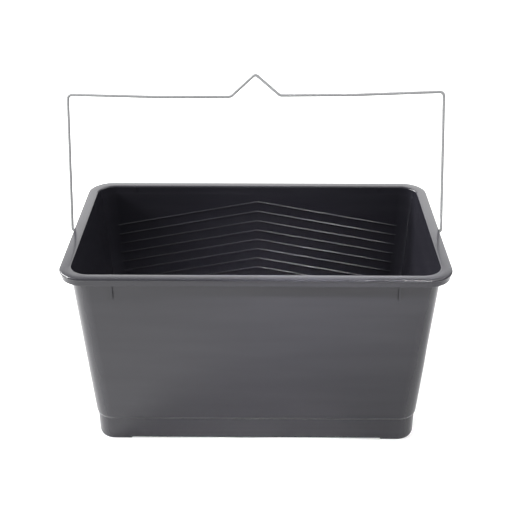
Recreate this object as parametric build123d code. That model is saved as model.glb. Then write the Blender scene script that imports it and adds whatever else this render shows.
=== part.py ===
from build123d import *
from math import cos, radians, sin, sqrt, tan
import os

# A rectangular roller bucket with a wire bail handle, in millimetres.
# The origin is on the floor under the middle of the bucket. +X runs along the long side, the
# roll-off ribs are on the +Y wall, and the long wall without ribs is at -Y.

# Rim, measured over its outer edge
rim_length = 360.0
rim_depth = 212.0
bucket_height = 197.0
rim_corner_radius = 24.0
rim_width = 10.2
flange_thickness = 2.0
bead_height = 2.4
bead_overhang = 0.9
bead_round = 1.0
skirt_thickness = 1.6
skirt_height = 8.0
mouth_round = 1.3
mouth_land_height = 7.0
mouth_land_step = 0.2

# Drafted walls
wall_thickness = 1.8
wall_draft_degrees = 3.45
mouth_corner_radius = 18.0
wall_foot_corner_radius = 17.5
wall_foot_round = 12.0
inner_floor_round = 5.0

# Base band, floor and feet
band_top_height = 25.5
band_step = 1.3
band_foot_round = 0.6
gate_mark_radius = 3.0
gate_mark_height = 0.5
floor_thickness = 2.2
foot_height = 1.5
foot_width = 8.0
foot_length = 34.0
foot_depth = 30.0
foot_edge_inset = 0.6
underside_recess = 0.8
underside_ring_width = 12.0

# Chevron roll-off ribs on the inside of the back wall
rib_pitch = 11.2
rib_first_apex_drop = 18.0
rib_slope_degrees = 10.4
rib_corner_run = 4.5
lowest_rib_end_height = 20.0
rib_width = 2.0
rib_height = 1.1
rib_round = 0.8
rib_root_depth = 0.6

# Stacking ribs on the outside of the front and back walls, under the rim
stacking_rib_spacing = 263.0
stacking_rib_width = 2.5
stacking_rib_height = 18.0
stacking_rib_edge_inset = 8.4
stacking_rib_root_depth = 0.8

# Ears under the rim, at the middle of the short sides
ear_width = 14.0
ear_face_inset = 0.4
ear_corner_radius = 6.3
pivot_drop = 5.5
ear_below_pivot = 7.0

# Wire handle
wire_diameter = 3.0
pivot_clearance = 0.08
handle_rim_gap = 1.4
pin_depth = 6.0
pin_end_gap = 0.6
pin_bend_radius = 3.0
handle_lean_degrees = 20.0
handle_sway = -1.2
left_shoulder_reach = 133.5
left_bar_reach = 131.5
left_peak_foot_reach = 131.9
peak_reach = 153.5
right_peak_foot_reach = 133.2
right_bar_reach = 133.9
right_shoulder_reach = 137.0
peak_offset = -1.4
peak_half_width = 24.0
bar_middle_offset = 95.0
shoulder_bend_radius = 4.0
bar_bend_radius = 150.0
peak_foot_bend_radius = 5.0
peak_bend_radius = 3.0

# How far a cutting block runs past the face it opens
cut_overrun = 1.0

# Sizes worked out from the ones above. The wall's rounded foot would end below the band's top
# edge, so the wall block starts lower, where its round meets the band's face at that edge.
wall_slope = tan(radians(wall_draft_degrees))
foot_round_rise = sqrt(2 * wall_foot_round * band_step - band_step**2)
wall_foot_height = band_top_height - wall_foot_round + foot_round_rise
skirt_bottom_height = bucket_height - skirt_height
mouth_overhang = rim_width + mouth_land_step - wall_thickness
wall_corner_slope = (mouth_corner_radius - wall_foot_corner_radius) / (bucket_height - band_top_height)
pivot_height = bucket_height - pivot_drop
pin_radius = wire_diameter / 2
bore_radius = pin_radius + pivot_clearance
leg_offset = rim_length / 2 + handle_rim_gap + pin_radius
rib_fall = rim_length / 2 * tan(radians(rib_slope_degrees))
room_for_ribs = bucket_height - rib_first_apex_drop - rib_fall - lowest_rib_end_height
rib_count = 1 + int(room_for_ribs / rib_pitch)


def section(inset, radius, height):
    """A rounded rectangle, inset from the rim's outer edge, at a height above the floor."""
    length = rim_length - 2 * inset
    depth = rim_depth - 2 * inset
    return Pos(0, 0, height) * RectangleRounded(length, depth, radius)


def block(inset, radius, low, high):
    """A straight-sided rounded block between two heights."""
    return extrude(section(inset, radius, low), high - low)


def wall_inset(height):
    """How far the outer face of the drafted wall stands in from the rim's outer edge."""
    return mouth_overhang + (bucket_height - height) * wall_slope


def wall_corner_radius(height):
    """The radius of the inner face's corners at a height above the floor."""
    return mouth_corner_radius - (bucket_height - height) * wall_corner_slope


def wall_section(height, thickness):
    """The drafted wall's outline at a height, set in by a thickness."""
    radius = wall_corner_radius(height) + wall_thickness - thickness
    return section(wall_inset(height) + thickness, radius, height)


def drafted_block(low, high, thickness):
    """The drafted wall as a solid block between two heights, set in by a thickness."""
    return loft([wall_section(low, thickness), wall_section(high, thickness)], ruled=True)


def lowest_edges(solid):
    return solid.edges().group_by(Axis.Z)[0]


def highest_edges(solid):
    return solid.edges().group_by(Axis.Z)[-1]


def outer_body():
    """The walls and the base band as one solid block, before it is hollowed."""
    upper = drafted_block(wall_foot_height, bucket_height - flange_thickness / 2, 0)
    upper = fillet(lowest_edges(upper), wall_foot_round)
    band_inset = wall_inset(band_top_height) + band_step
    band_radius = wall_foot_corner_radius + wall_thickness - band_step
    band = block(band_inset, band_radius, foot_height, band_top_height + wall_foot_round / 2)
    band = fillet(lowest_edges(band), band_foot_round)
    return upper + band


def well():
    """The space inside the bucket: it follows the outside, one wall thickness in."""
    upper = drafted_block(wall_foot_height + wall_thickness, bucket_height, wall_thickness)
    upper = fillet(lowest_edges(upper), wall_foot_round - wall_thickness)
    land_thickness = wall_thickness - mouth_land_step
    land = drafted_block(bucket_height - mouth_land_height, bucket_height + cut_overrun, land_thickness)
    low_inset = wall_inset(band_top_height) + band_step + wall_thickness
    low_radius = wall_foot_corner_radius - band_step
    floor_height = foot_height + floor_thickness
    lower = block(low_inset, low_radius, floor_height, wall_foot_height + wall_foot_round)
    lower = fillet(lowest_edges(lower), inner_floor_round)
    return upper + land + lower


def rim():
    """The flat flange with its rounded bead along the edge and the skirt under the bead."""
    bead = block(0, rim_corner_radius, bucket_height - bead_height, bucket_height)
    bead = fillet(highest_edges(bead) + lowest_edges(bead), bead_round)
    skirt_radius = rim_corner_radius - bead_overhang
    skirt = block(bead_overhang, skirt_radius, skirt_bottom_height, bucket_height - bead_round)
    channel_inset = bead_overhang + skirt_thickness
    channel_radius = rim_corner_radius - channel_inset
    channel_top = bucket_height - flange_thickness
    channel = block(channel_inset, channel_radius, skirt_bottom_height - cut_overrun, channel_top)
    return bead + skirt - channel


def ear(side):
    """A solid ear that fills the rim channel at the middle of a short side and hangs under it."""
    outer_x = rim_length / 2 - ear_face_inset
    inner_x = rim_length / 2 - wall_inset(pivot_height - ear_below_pivot) - wall_thickness / 2
    drop = pivot_drop + ear_below_pivot - flange_thickness / 2
    middle_x = (outer_x + inner_x) / 2
    middle_z = bucket_height - flange_thickness / 2 - drop / 2
    tab = Pos(side * middle_x, 0, middle_z) * Box(outer_x - inner_x, ear_width, drop)
    low_corners = tab.edges().filter_by(Axis.X).group_by(Axis.Z)[0]
    return fillet(low_corners, ear_corner_radius)


def ear_bore(side):
    """The blind hole in an ear that takes the in-turned end of the wire."""
    depth = pin_depth + pin_end_gap
    x = side * (rim_length / 2 - depth / 2)
    return Pos(x, 0, pivot_height) * Rot(0, 90, 0) * Cylinder(bore_radius, depth)


def stacking_rib(x, side):
    """A short upright rib with a vertical face, on the outside of a long wall under the skirt."""
    high = skirt_bottom_height
    low = high - stacking_rib_height
    outer_y = rim_depth / 2 - stacking_rib_edge_inset
    inner_y = rim_depth / 2 - wall_inset(low) - stacking_rib_root_depth
    depth = outer_y - inner_y
    shape = Pos(x, side * (outer_y + inner_y) / 2, (low + high + flange_thickness) / 2)
    return shape * Box(stacking_rib_width, depth, high + flange_thickness - low)


def back_wall_plane():
    """The inner face of the back wall, with its own X along the wall and its own Y up it."""
    y = rim_depth / 2 - wall_inset(bucket_height) - wall_thickness
    normal = (0, -cos(radians(wall_draft_degrees)), sin(radians(wall_draft_degrees)))
    return Plane(origin=(0, y, bucket_height), x_dir=(1, 0, 0), z_dir=normal)


def chevron_rib(number):
    """One roll-off rib: highest in the middle, falling to both corners of the back wall."""
    slope = tan(radians(rib_slope_degrees))
    apex = -(rib_first_apex_drop + number * rib_pitch)
    end_height = bucket_height + apex - rib_fall
    inner_half_length = rim_length / 2 - wall_inset(end_height) - wall_thickness
    reach = inner_half_length - wall_corner_radius(end_height) + rib_corner_run
    half_width = rib_width / 2 / cos(radians(rib_slope_degrees))
    corners = [
        (-reach, apex - reach * slope + half_width),
        (0, apex + half_width),
        (reach, apex - reach * slope + half_width),
        (reach, apex - reach * slope - half_width),
        (0, apex - half_width),
        (-reach, apex - reach * slope - half_width),
    ]
    face = back_wall_plane().offset(-rib_root_depth) * make_face(Polyline(*corners, close=True))
    rib = extrude(face, rib_root_depth + rib_height)
    outwards = Axis(back_wall_plane().origin, back_wall_plane().z_dir)
    crest = rib.faces().sort_by(outwards)[-1]
    return fillet(crest.edges(), rib_round)


def foot(side_x, side_y):
    """A corner foot: a short raised length of the base's outline, round one corner."""
    inset = wall_inset(band_top_height) + band_step + foot_edge_inset
    radius = wall_foot_corner_radius + wall_thickness - band_step - foot_edge_inset
    top = foot_height + floor_thickness / 2
    ring = block(inset, radius, 0, top) - block(inset + foot_width, radius / 2, 0, top)
    x = side_x * (rim_length / 2 - inset - foot_length / 2)
    y = side_y * (rim_depth / 2 - inset - foot_depth / 2)
    corner = Pos(x, y, top / 2) * Box(foot_length, foot_depth, top)
    return ring & corner


def underside_panel():
    """The shallow recess in the underside, inside the ring that the feet stand on."""
    inset = wall_inset(band_top_height) + band_step + underside_ring_width
    radius = wall_foot_corner_radius / 2
    return block(inset, radius, foot_height - cut_overrun, foot_height + underside_recess)


def gate_mark():
    """The low round mark in the middle of the underside where the plastic was let in."""
    middle = foot_height + underside_recess - gate_mark_height / 2
    return Pos(0, 0, middle) * Cylinder(gate_mark_radius, gate_mark_height)


def bucket():
    shell = outer_body() + rim()
    for side in (-1, 1):
        shell += ear(side)
    for side_x in (-1, 1):
        for side_y in (-1, 1):
            shell += stacking_rib(side_x * stacking_rib_spacing / 2, side_y)
            shell += foot(side_x, side_y)
    shell -= underside_panel()
    shell += gate_mark()
    shell -= well()
    top_face = shell.faces().sort_by(Axis.Z)[-1]
    shell = fillet(top_face.inner_wires()[0].edges(), mouth_round)
    for side in (-1, 1):
        shell -= ear_bore(side)
    for number in range(rib_count):
        shell += chevron_rib(number)
    return shell


def handle_path():
    """The wire's centre line as it stands upright over the pivot axis, at the pivot's height."""
    pin_x = rim_length / 2 - pin_depth
    points = [
        (-pin_x, 0),
        (-leg_offset, 0),
        (-leg_offset + handle_sway, left_shoulder_reach),
        (-bar_middle_offset, left_bar_reach),
        (peak_offset - peak_half_width, left_peak_foot_reach),
        (peak_offset, peak_reach),
        (peak_offset + peak_half_width, right_peak_foot_reach),
        (bar_middle_offset, right_bar_reach),
        (leg_offset + handle_sway, right_shoulder_reach),
        (leg_offset, 0),
        (pin_x, 0),
    ]
    bends = [
        pin_bend_radius,
        shoulder_bend_radius,
        bar_bend_radius,
        peak_foot_bend_radius,
        peak_bend_radius,
        peak_foot_bend_radius,
        bar_bend_radius,
        shoulder_bend_radius,
        pin_bend_radius,
    ]
    upright = Plane(origin=(0, 0, pivot_height), x_dir=(1, 0, 0), z_dir=(0, -1, 0))
    return upright * FilletPolyline(*points, radius=bends)


def wire_handle():
    path = handle_path()
    start = Plane(origin=path @ 0, z_dir=path % 0)
    wire = sweep(start * Circle(pin_radius), path=path)
    pivot_axis = Axis((0, 0, pivot_height), (1, 0, 0))
    return wire.rotate(pivot_axis, -handle_lean_degrees)


os.makedirs("parts", exist_ok=True)
export_step(bucket(), "parts/bucket.step")
export_step(wire_handle(), "parts/wire_handle.step")
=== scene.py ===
from math import cos, degrees, radians, sin, tan

import bmesh
import bpy
from mathutils import Matrix, Vector


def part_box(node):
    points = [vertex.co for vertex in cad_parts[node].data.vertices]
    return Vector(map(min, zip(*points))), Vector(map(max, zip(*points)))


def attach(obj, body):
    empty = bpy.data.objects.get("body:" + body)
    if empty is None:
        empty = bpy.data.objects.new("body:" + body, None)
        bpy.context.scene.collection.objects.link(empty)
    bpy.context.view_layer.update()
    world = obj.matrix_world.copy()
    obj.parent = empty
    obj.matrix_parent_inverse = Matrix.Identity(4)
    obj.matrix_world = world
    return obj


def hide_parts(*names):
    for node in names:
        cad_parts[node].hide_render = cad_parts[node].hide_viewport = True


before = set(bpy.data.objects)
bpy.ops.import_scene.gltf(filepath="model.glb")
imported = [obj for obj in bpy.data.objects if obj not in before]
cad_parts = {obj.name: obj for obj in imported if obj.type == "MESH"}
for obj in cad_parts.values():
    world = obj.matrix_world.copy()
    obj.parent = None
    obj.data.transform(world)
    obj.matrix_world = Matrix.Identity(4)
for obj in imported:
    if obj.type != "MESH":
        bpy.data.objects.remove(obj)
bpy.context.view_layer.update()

# --- The tub -------------------------------------------------------------------------------
# One injection moulding in dark grey polypropylene, with 1.8 mm walls that draft out towards
# the rim. It is walked here from the underside, up the outside, over the rim and down inside,
# as the two halves of its mould would meet it.
half_length, half_depth, rim_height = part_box("bucket")[1]
wall_thickness = 0.0018
wall_setback = 0.0086
draft = radians(3.45)
wall_slope = tan(draft)
rim_corner = 0.024
mouth_corner = 0.018
foot_corner = 0.0175
foot_height = 0.0015
ledge_height = 0.0249
band_top = 0.0255
arc_steps = 14


def wall_inset(height):
    """How far the drafted wall's outer face stands in from the rim's edge at a height."""
    return wall_setback + (rim_height - height) * wall_slope


def inner_corner(height):
    """The inner face's corner radius at a height."""
    share = (height - ledge_height) / (rim_height - ledge_height)
    return foot_corner + (mouth_corner - foot_corner) * share


def rounded(bm, geometry, radius, steps, what="EDGES"):
    """Rounds edges, or the corners of a flat face, to a radius."""
    bmesh.ops.bevel(
        bm,
        geom=geometry,
        offset=radius,
        offset_type="OFFSET",
        segments=steps,
        profile=0.5,
        affect=what,
        clamp_overlap=False,
        material=-1,
    )


def start_outline(bm, inset, corner, height):
    """The first outline's edges: a rounded rectangle, one grid face with its corners rounded."""
    made = bmesh.ops.create_grid(bm, x_segments=1, y_segments=1, size=1)
    for vert in made["verts"]:
        vert.co.x *= half_length - inset
        vert.co.y *= half_depth - inset
        vert.co.z = height
    rounded(bm, made["verts"], corner, arc_steps, "VERTICES")
    return bm.edges[:]


def extended(bm, edges):
    """Extrudes a loop of edges and returns the new loop's edges and vertices."""
    grown = bmesh.ops.extrude_edge_only(bm, edges=edges)["geom"]
    new_edges = [item for item in grown if isinstance(item, bmesh.types.BMEdge)]
    new_verts = [item for item in grown if isinstance(item, bmesh.types.BMVert)]
    return new_edges, new_verts


def next_outline(bm, edges, old, new):
    """Draws the open end on to the next outline and returns its edges.

    Each outline is (inset, corner radius, height). A corner's arc keeps its directions while
    its centre and radius change, so every outline stays a true rounded rectangle.
    """
    new_edges, new_verts = extended(bm, edges)
    for vert in new_verts:
        for axis, half in ((0, half_length), (1, half_depth)):
            side = 1 if vert.co[axis] > 0 else -1
            along = vert.co[axis] - side * (half - old[0] - old[1])
            vert.co[axis] = side * (half - new[0] - new[1]) + along * new[1] / old[1]
        vert.co.z = new[2]
    return new_edges


flange_underside = rim_height - 0.002
skirt_bottom = rim_height - 0.008
bead_bottom = rim_height - 0.0024
rim_edge_height = rim_height - 0.00035
land_bottom = rim_height - 0.007
land_foot = land_bottom - 0.0024
band_step = 0.0013
band_inset = wall_inset(band_top) + band_step
band_corner = foot_corner + wall_thickness - band_step
panel_inset = band_inset + 0.012
panel_corner = foot_corner / 2
inner_inset = band_inset + wall_thickness
inner_band_corner = band_corner - wall_thickness
floor_height = foot_height + 0.0022
turn_height = 0.0269
inner_turn_height = 0.0277
land_corner = mouth_corner + 0.0002

# Each outline up the profile, with the radius that its edge is rounded by and the steps in it
profile = [
    ((panel_inset, panel_corner, foot_height + 0.0008), 0.0003, 2),
    ((panel_inset, panel_corner, foot_height), 0.0003, 2),
    ((band_inset, band_corner, foot_height), 0.0009, 4),
    ((band_inset, band_corner, ledge_height), 0.0003, 2),
    ((wall_inset(turn_height), foot_corner + wall_thickness, turn_height), 0.0015, 4),
    (
        (wall_inset(flange_underside), mouth_corner + wall_thickness, flange_underside),
        0.0005,
        2,
    ),
    ((0.0025, rim_corner - 0.0025, flange_underside), 0.0004, 2),
    ((0.0030, rim_corner - 0.0030, skirt_bottom), 0.0003, 2),
    ((0.0014, rim_corner - 0.0014, skirt_bottom), 0.0005, 3),
    ((0.0009, rim_corner - 0.0009, bead_bottom), 0.0002, 2),
    ((0.0, rim_corner, bead_bottom), 0.0008, 4),
    ((0.0, rim_corner, rim_edge_height), 0.0011, 5),
    ((0.0050, rim_corner - 0.0050, rim_height), 0.0034, 4),
    ((0.0102, land_corner, rim_edge_height), 0.0013, 5),
    ((wall_inset(land_bottom) + 0.0016, land_corner, land_bottom), 0.0006, 3),
    ((wall_inset(land_foot) + 0.0018, mouth_corner, land_foot), 0.0006, 3),
    (
        (
            wall_inset(inner_turn_height) + wall_thickness,
            inner_corner(inner_turn_height),
            inner_turn_height,
        ),
        0.0024,
        5,
    ),
    ((inner_inset, inner_band_corner, band_top - 0.0001), 0.0002, 2),
    ((inner_inset, inner_band_corner, floor_height), 0.0050, 6),
]

tub_mesh = bmesh.new()
open_end = start_outline(tub_mesh, *profile[0][0])
outline_edges = [open_end]
for step in range(1, len(profile)):
    open_end = next_outline(tub_mesh, open_end, profile[step - 1][0], profile[step][0])
    outline_edges.append(open_end)
bmesh.ops.edgeloop_fill(tub_mesh, edges=open_end)
for (_, rounding, steps), edges in zip(profile, outline_edges):
    rounded(tub_mesh, edges, rounding, steps)
bmesh.ops.recalc_face_normals(tub_mesh, faces=tub_mesh.faces)


def new_piece(name, bm):
    """Turns a finished bmesh into an object at the origin."""
    mesh = bpy.data.meshes.new(name)
    bm.to_mesh(mesh)
    bm.free()
    piece = bpy.data.objects.new(name, mesh)
    bpy.context.scene.collection.objects.link(piece)
    return piece


tub = new_piece("tub", tub_mesh)

# --- Roll-off ribs ----------------------------------------------------------------------------
# Twelve chevrons moulded on the inside of the back wall. The loaded roller is rolled up them
# to press the spare paint out, which runs down to the corners. They are part of the moulding.
rib_count = 12
rib_pitch = 0.0112
first_apex_drop = 0.018
rib_slope = tan(radians(10.4))
rib_half_width = 0.0010
rib_root = 0.0006
rib_crest = 0.0011
rib_end_overlap = 0.0045
up_wall = Vector((0, sin(draft), cos(draft)))
off_wall = Vector((0, -cos(draft), sin(draft)))
wall_top = Vector((0, half_depth - wall_setback - wall_thickness, rim_height))


def box_between(bm, low, high, rounding, lean=0.0):
    """A block between two corners with its edges rounded, its top drawn in towards y = 0."""
    made = bmesh.ops.create_cube(bm, size=1)
    for vert in made["verts"]:
        for axis in range(3):
            vert.co[axis] = low[axis] if vert.co[axis] < 0 else high[axis]
        if vert.co.z == high[2]:
            vert.co.y -= lean if vert.co.y > 0 else -lean
    edges = list({edge for vert in made["verts"] for edge in vert.link_edges})
    rounded(bm, edges, rounding, 2)


additions = bmesh.new()
for number in range(rib_count):
    apex = wall_top - up_wall * (first_apex_drop + number * rib_pitch)
    end_height = apex.z - half_length * rib_slope
    end_inset = wall_inset(end_height) + wall_thickness + inner_corner(end_height)
    reach = half_length - end_inset + rib_end_overlap
    start = apex - up_wall * reach * rib_slope
    start.x = -reach
    corners = []
    for across, out in ((-1, -rib_root), (1, -rib_root), (1, rib_crest), (-1, rib_crest)):
        corner = start + up_wall * across * rib_half_width + off_wall * out
        corners.append(additions.verts.new(corner))
    section = list(additions.faces.new(corners).edges)
    rib_verts = list(corners)
    for drop in (-reach * rib_slope, reach * rib_slope):
        section, section_verts = extended(additions, section)
        run = Vector((reach, 0, 0)) - up_wall * drop
        bmesh.ops.translate(additions, vec=run, verts=section_verts)
        rib_verts += section_verts
    bmesh.ops.edgeloop_fill(additions, edges=section)
    crest_edges = []
    for edge in {edge for vert in rib_verts for edge in vert.link_edges}:
        ends_out = [(vert.co - wall_top).dot(off_wall) for vert in edge.verts]
        if min(ends_out) > rib_crest * 0.9:
            crest_edges.append(edge)
    rounded(additions, crest_edges, 0.00095, 4)

# --- Ears, stacking ribs and feet -----------------------------------------------------------
# The ears fill the rim's channel at the middle of the short sides and carry the wire. The
# stacking ribs stop one bucket jamming in the next. The feet are four short raised lengths of
# the base's outline. All are moulded with the tub.
pivot_height = rim_height - 0.0055
ear_half_width = 0.007
ear_foot = pivot_height - 0.007
ear_head = rim_height - 0.0016
ear_setback = 0.0004
ear_root = 0.0012
for side in (-1, 1):
    ear_outer = side * (half_length - ear_setback)
    ear_inner = side * (half_length - wall_inset(pivot_height) - ear_root)
    low_x, high_x = sorted((ear_outer, ear_inner))
    box_between(
        additions,
        (low_x, -ear_half_width, ear_foot),
        (high_x, ear_half_width, ear_head),
        0.0004,
    )
stacking_rib_place = 0.1315
stacking_rib_half_width = 0.00125
stacking_rib_foot = skirt_bottom - 0.018
stacking_rib_head = flange_underside + 0.001
stacking_rib_setback = 0.0075
stacking_rib_root = 0.0008
for side_x in (-1, 1):
    for side_y in (-1, 1):
        rib_x = side_x * stacking_rib_place
        outer_y = side_y * (half_depth - stacking_rib_setback)
        inner_y = side_y * (half_depth - wall_inset(stacking_rib_foot) - stacking_rib_root)
        low_y, high_y = sorted((outer_y, inner_y))
        box_between(
            additions,
            (rib_x - stacking_rib_half_width, low_y, stacking_rib_foot),
            (rib_x + stacking_rib_half_width, high_y, stacking_rib_head),
            0.0004,
            lean=0.0017,
        )

# One foot as an L-shaped face with its two corners rounded, drawn up, then copied round
foot_setback = 0.0006
foot_width = 0.008
foot_inner_corner = 0.0087
foot_root = 0.0011
foot_out = (half_length - band_inset - foot_setback, half_depth - band_inset - foot_setback)
foot_in = (foot_out[0] - foot_width, foot_out[1] - foot_width)
foot_end = (foot_out[0] - 0.034, foot_out[1] - 0.030)
foot_points = [
    (foot_out[0], foot_end[1]),
    (foot_out[0], foot_out[1]),
    (foot_end[0], foot_out[1]),
    (foot_end[0], foot_in[1]),
    (foot_in[0], foot_in[1]),
    (foot_in[0], foot_end[1]),
]
foot_mesh = bmesh.new()
foot_verts = [foot_mesh.verts.new((x, y, 0)) for x, y in foot_points]
foot_mesh.faces.new(foot_verts)
foot_outer_corner = band_corner - foot_setback
for vert, corner in ((foot_verts[1], foot_outer_corner), (foot_verts[4], foot_inner_corner)):
    rounded(foot_mesh, [vert], corner, arc_steps, "VERTICES")
sole_edges = foot_mesh.edges[:]
foot_top, raised = extended(foot_mesh, sole_edges)
bmesh.ops.translate(foot_mesh, vec=(0, 0, foot_height + foot_root), verts=raised)
bmesh.ops.edgeloop_fill(foot_mesh, edges=foot_top)
rounded(foot_mesh, sole_edges, 0.0003, 2)
for across in ((1, 0, 0), (0, 1, 0)):
    whole = foot_mesh.verts[:] + foot_mesh.edges[:] + foot_mesh.faces[:]
    copied = bmesh.ops.duplicate(foot_mesh, geom=whole)
    flip = Matrix.Scale(-1, 4, across)
    moved = [item for item in copied["geom"] if isinstance(item, bmesh.types.BMVert)]
    bmesh.ops.transform(foot_mesh, matrix=flip, verts=moved)
bmesh.ops.recalc_face_normals(foot_mesh, faces=foot_mesh.faces)
feet = new_piece("feet", foot_mesh)

# The round mark in the middle of the underside, where the plastic was let in
bmesh.ops.create_cone(
    additions,
    cap_ends=True,
    segments=32,
    radius1=0.0028,
    radius2=0.0030,
    depth=0.0006,
    matrix=Matrix.Translation((0, 0, foot_height + 0.0008)),
)
bmesh.ops.recalc_face_normals(additions, faces=additions.faces)
moulded_on = new_piece("moulded_on", additions)

# The blind holes in the ears, for the in-turned ends of the wire
bore_radius = 0.00158
bore_depth = 0.0066
bores = bmesh.new()
for side in (-1, 1):
    hole_place = Matrix.Translation((side * (half_length - bore_depth / 2), 0, pivot_height))
    bmesh.ops.create_cone(
        bores,
        cap_ends=True,
        segments=32,
        radius1=bore_radius,
        radius2=bore_radius,
        depth=bore_depth,
        matrix=hole_place @ Matrix.Rotation(radians(90), 4, "Y"),
    )
ear_holes = new_piece("ear_holes", bores)

for tool, operation in ((moulded_on, "UNION"), (feet, "UNION"), (ear_holes, "DIFFERENCE")):
    cut = tub.modifiers.new(operation.lower(), "BOOLEAN")
    cut.operation = operation
    cut.object = tool
    cut.solver = "EXACT"
bpy.context.view_layer.update()
finished_tub = tub.evaluated_get(bpy.context.evaluated_depsgraph_get())
moulding = bpy.data.meshes.new_from_object(finished_tub)
tub.modifiers.clear()
tub.data = moulding
for tool in (moulded_on, feet, ear_holes):
    bpy.data.objects.remove(tool)

# Joining the shapes leaves needle-thin faces where the feet meet the base's rounded edge
shortest_edge = 0.00002
joined = bmesh.new()
joined.from_mesh(moulding)
bmesh.ops.remove_doubles(joined, verts=joined.verts, dist=shortest_edge)
bmesh.ops.dissolve_degenerate(joined, edges=joined.edges, dist=shortest_edge)
joined.to_mesh(moulding)
joined.free()
for polygon in moulding.polygons:
    polygon.use_smooth = True
moulding.set_sharp_from_angle(angle=radians(38))
even_shading = tub.modifiers.new("even_shading", "WEIGHTED_NORMAL")
even_shading.keep_sharp = True


def new_material(name):
    """A material with its shader, and a way to add wired nodes to it."""
    made = bpy.data.materials.new(name)
    made.use_nodes = True
    made.node_tree.nodes.clear()
    out = made.node_tree.nodes.new("ShaderNodeOutputMaterial")
    shader = made.node_tree.nodes.new("ShaderNodeBsdfPrincipled")
    made.node_tree.links.new(shader.outputs["BSDF"], out.inputs["Surface"])

    def add(kind, settings=None, **inputs):
        node = made.node_tree.nodes.new(kind)
        for key, value in (settings or {}).items():
            setattr(node, key, value)
        for key, value in inputs.items():
            socket = node.inputs[int(key[1:])] if key[1:].isdigit() else node.inputs[key]
            if isinstance(value, bpy.types.NodeSocket):
                made.node_tree.links.new(value, socket)
            else:
                socket.default_value = value
        return node

    return made, shader, add


def blend(add, mask, dark, light, start=0.0, end=1.0):
    """A colour that goes from a dark to a light tone as a mask goes from start to end."""
    ramp = add("ShaderNodeValToRGB", Fac=mask)
    ramp.color_ramp.elements[0].position = start
    ramp.color_ramp.elements[0].color = (*dark, 1)
    ramp.color_ramp.elements[1].position = end
    ramp.color_ramp.elements[1].color = (*light, 1)
    return ramp.outputs["Color"]


def ranged(add, mask, low, high, start=0.0, end=1.0):
    """A number that goes from low to high as a mask goes from start to end."""
    node = add("ShaderNodeMapRange", Value=mask)
    node.inputs["From Min"].default_value = start
    node.inputs["From Max"].default_value = end
    node.inputs["To Min"].default_value = low
    node.inputs["To Max"].default_value = high
    return node.outputs["Result"]


# Polypropylene with a fine spark-eroded grain, faint flow lines along the walls, walls a little
# out of flat, and a rim that is more polished than the rest
plastic, shader, add = new_material("dark_polypropylene")
link = plastic.node_tree.links.new
place = add("ShaderNodeTexCoord").outputs["Object"]
turned_place = add("ShaderNodeMapping", Vector=place, Rotation=(0.61, 0.47, 0.83)).outputs[0]
grain = add("ShaderNodeTexNoise", Vector=turned_place, Scale=1800.0, Detail=2.0, Roughness=0.6)
flow_place = add("ShaderNodeMapping", Vector=place, Scale=(9.0, 9.0, 60.0)).outputs[0]
flow = add("ShaderNodeTexNoise", Vector=flow_place, Scale=1.0, Detail=2.0, Roughness=0.45)
warp = add("ShaderNodeTexNoise", Vector=place, Scale=7.0, Detail=1.0, Roughness=0.4)
dark_grey = (0.0158, 0.0154, 0.0206)
pale_grey = (0.0205, 0.0200, 0.0255)
shade = blend(add, flow.outputs["Fac"], dark_grey, pale_grey, 0.3, 0.75)
link(shade, shader.inputs["Base Color"])
wall_gloss = ranged(add, flow.outputs["Fac"], 0.24, 0.268)
height_up = add("ShaderNodeSeparateXYZ", Vector=place).outputs["Z"]
rim_polish = ranged(add, height_up, 1.0, 0.70, skirt_bottom - 0.001, skirt_bottom + 0.001)
gloss = add("ShaderNodeMath", {"operation": "MULTIPLY"}, _0=wall_gloss, _1=rim_polish)
link(gloss.outputs[0], shader.inputs["Roughness"])
surface = None
for height, depth in ((warp, 0.0012), (flow, 0.000012), (grain, 0.000010)):
    bump = add("ShaderNodeBump", Height=height.outputs["Fac"], Distance=depth, Strength=1.0)
    if surface:
        link(surface, bump.inputs["Normal"])
    surface = bump.outputs["Normal"]
link(surface, shader.inputs["Normal"])
shader.inputs["IOR"].default_value = 1.47
tub.data.materials.append(plastic)
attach(tub, "bucket")
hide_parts("bucket")

# --- The wire handle ----------------------------------------------------------------------------
# One length of 3 mm galvanised wire, bent cold in a jig: a pin, a leg, half of the crossbar,
# the peak that hangs on a hook, and back down to the other pin. It springs into the ears.
wire_radius = 0.0015
pin_reach = half_length - 0.006
leg_reach = half_length + 0.0014 + wire_radius
lean = radians(20)
sway = -0.0012
wire_points = [
    (-pin_reach, 0.0),
    (-leg_reach, 0.0),
    (-leg_reach + sway, 0.1335),
    (-0.0950, 0.1315),
    (-0.0254, 0.1319),
    (-0.0014, 0.1535),
    (0.0226, 0.1332),
    (0.0950, 0.1339),
    (leg_reach + sway, 0.1370),
    (leg_reach, 0.0),
    (pin_reach, 0.0),
]
bend_radii = [0.003, 0.004, 0.150, 0.005, 0.003, 0.005, 0.150, 0.004, 0.003]

points = [Vector((x, 0, pivot_height + z)) for x, z in wire_points]
wire_mesh = bmesh.new()
bmesh.ops.create_circle(
    wire_mesh,
    cap_ends=True,
    segments=20,
    radius=wire_radius,
    matrix=Matrix.Translation(points[0]) @ Matrix.Rotation(radians(-90), 4, "Y"),
)
start_end = wire_mesh.edges[:]
wire_end = start_end


def draw_on(edges, run):
    """Feeds the wire's end straight on by a run."""
    new_edges, new_verts = extended(wire_mesh, edges)
    bmesh.ops.translate(wire_mesh, vec=run, verts=new_verts)
    return new_edges


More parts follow.
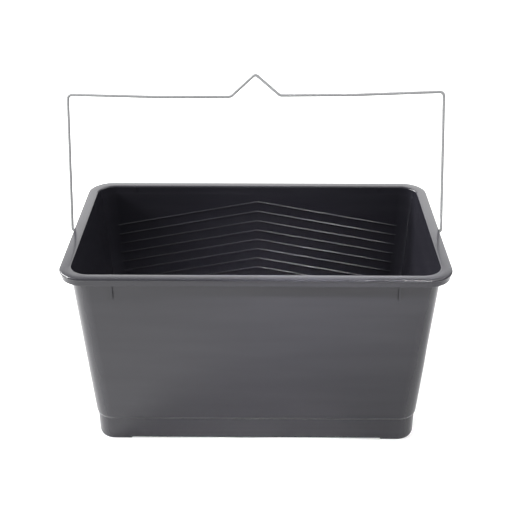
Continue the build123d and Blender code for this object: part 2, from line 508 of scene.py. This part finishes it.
feed = 0.0
for index in range(1, len(points)):
    run = points[index] - points[index - 1]
    direction = run.normalized()
    if index == len(points) - 1:
        wire_end = draw_on(wire_end, direction * (run.length - feed))
        break
    next_direction = (points[index + 1] - points[index]).normalized()
    turn = direction.angle(next_direction)
    bend = bend_radii[index - 1]
    tangent = bend * tan(turn / 2)
    wire_end = draw_on(wire_end, direction * (run.length - feed - tangent))
    axis = direction.cross(next_direction).normalized()
    centre = points[index] - direction * tangent + axis.cross(direction) * bend
    swept = bmesh.ops.spin(
        wire_mesh,
        geom=wire_end,
        cent=centre,
        axis=axis,
        angle=turn,
        steps=max(2, round(degrees(turn) / 9)),
    )
    wire_end = [item for item in swept["geom_last"] if isinstance(item, bmesh.types.BMEdge)]
    feed = tangent
bmesh.ops.edgeloop_fill(wire_mesh, edges=wire_end)
rounded(wire_mesh, start_end + wire_end, 0.0003, 2)
bmesh.ops.rotate(
    wire_mesh,
    cent=(0, 0, pivot_height),
    matrix=Matrix.Rotation(-lean, 3, "X"),
    verts=wire_mesh.verts,
)
bmesh.ops.recalc_face_normals(wire_mesh, faces=wire_mesh.faces)
handle = new_piece("handle", wire_mesh)
for polygon in handle.data.polygons:
    polygon.use_smooth = True
handle.data.set_sharp_from_angle(angle=radians(50))

# Dull zinc with a mottled bloom and duller patches
zinc, shader, add = new_material("galvanised_wire")
link = zinc.node_tree.links.new
place = add("ShaderNodeTexCoord").outputs["Object"]
bloom = add("ShaderNodeTexNoise", Vector=place, Scale=420.0, Detail=5.0, Roughness=0.65)
patch = add("ShaderNodeTexNoise", Vector=place, Scale=60.0, Detail=3.0, Roughness=0.5)
dull_zinc = (0.27, 0.274, 0.278)
bright_zinc = (0.36, 0.364, 0.368)
tone = blend(add, bloom.outputs["Fac"], dull_zinc, bright_zinc, 0.25, 0.75)
link(tone, shader.inputs["Base Color"])
link(ranged(add, patch.outputs["Fac"], 0.42, 0.58), shader.inputs["Roughness"])
skin = add("ShaderNodeBump", Height=bloom.outputs["Fac"], Distance=0.00004, Strength=1.0)
link(skin.outputs["Normal"], shader.inputs["Normal"])
shader.inputs["Metallic"].default_value = 0.1
shader.inputs["Specular IOR Level"].default_value = 0.12
handle.data.materials.append(zinc)
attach(handle, "handle")
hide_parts("wire_handle")

# --- The floor, the lights and the camera ----------------------------------------------------
# A plain white floor in a bright tent. The key light stands at the left and behind, a wide panel
# low behind lights the rim, weak panels fill in from overhead, the left and the front, and a
# narrow one reaches the back wall through the mouth. The camera is above the front.
floor_mesh = bmesh.new()
bmesh.ops.create_grid(floor_mesh, x_segments=1, y_segments=1, size=20.0)
floor = new_piece("floor", floor_mesh)
white, shader, add = new_material("white_floor")
link = white.node_tree.links.new
place = add("ShaderNodeTexCoord").outputs["Object"]
paper = add("ShaderNodeTexNoise", Vector=place, Scale=900.0, Detail=2.0)
paper_tone = blend(add, paper.outputs["Fac"], (0.86, 0.86, 0.86), (0.89, 0.89, 0.89))
link(paper_tone, shader.inputs["Base Color"])
link(paper_tone, shader.inputs["Emission Color"])
shader.inputs["Emission Strength"].default_value = 0.27
shader.inputs["Roughness"].default_value = 0.9
floor.data.materials.append(white)

scene = bpy.context.scene
scene.view_settings.view_transform = "Standard"
sky = bpy.data.worlds.new("tent")
scene.world = sky
sky.use_nodes = True
sky.node_tree.nodes["Background"].inputs["Color"].default_value = (1.0, 1.0, 1.0, 1)
sky.node_tree.nodes["Background"].inputs["Strength"].default_value = 0.55


def soft_light(name, place, target, width, height, power, spread=180):
    """A rectangular soft light that faces a target and shines over a spread in degrees."""
    lamp = bpy.data.lights.new(name, "AREA")
    lamp.shape = "RECTANGLE"
    lamp.size = width
    lamp.size_y = height
    lamp.energy = power
    lamp.spread = radians(spread)
    lit = bpy.data.objects.new(name, lamp)
    lit.location = place
    lit.rotation_euler = (Vector(target) - Vector(place)).to_track_quat("-Z", "Y").to_euler()
    lit.visible_camera = False
    scene.collection.objects.link(lit)


soft_light("key", (-1.2, 0.85, 1.35), (0, -0.1, 0), 0.8, 0.8, 60)
soft_light("overhead", (0.7, 0.3, 1.6), (0, 0, 0), 1.0, 1.0, 14)
soft_light("behind", (0, 2.4, 0.95), (0, 0, 0.2), 3.2, 1.3, 29)
soft_light("left", (-1.5, -0.3, 1.0), (0, 0, 0.1), 0.3, 0.3, 20)
soft_light("front", (0, -1.25, 1.05), (0, -0.1, 0.03), 1.8, 0.6, 2.6)
soft_light("through_mouth", (0.40, -0.62, 1.15), (-0.05, 0.085, -0.08), 0.12, 0.12, 0.36, 14)

lens = bpy.data.cameras.new("camera")
lens.sensor_width = 36.0
lens.lens = 66.797
lens.clip_start = 0.01
camera = bpy.data.objects.new("camera", lens)
camera_place = Matrix.Translation((0.008377, -0.840153, 0.622147))
camera_turn = Matrix.Rotation(radians(0.602), 4, "Z")
camera_tilt = Matrix.Rotation(radians(61.375), 4, "X")
camera_roll = Matrix.Rotation(radians(-0.091), 4, "Z")
camera.matrix_world = camera_place @ camera_turn @ camera_tilt @ camera_roll
scene.collection.objects.link(camera)
scene.camera = camera
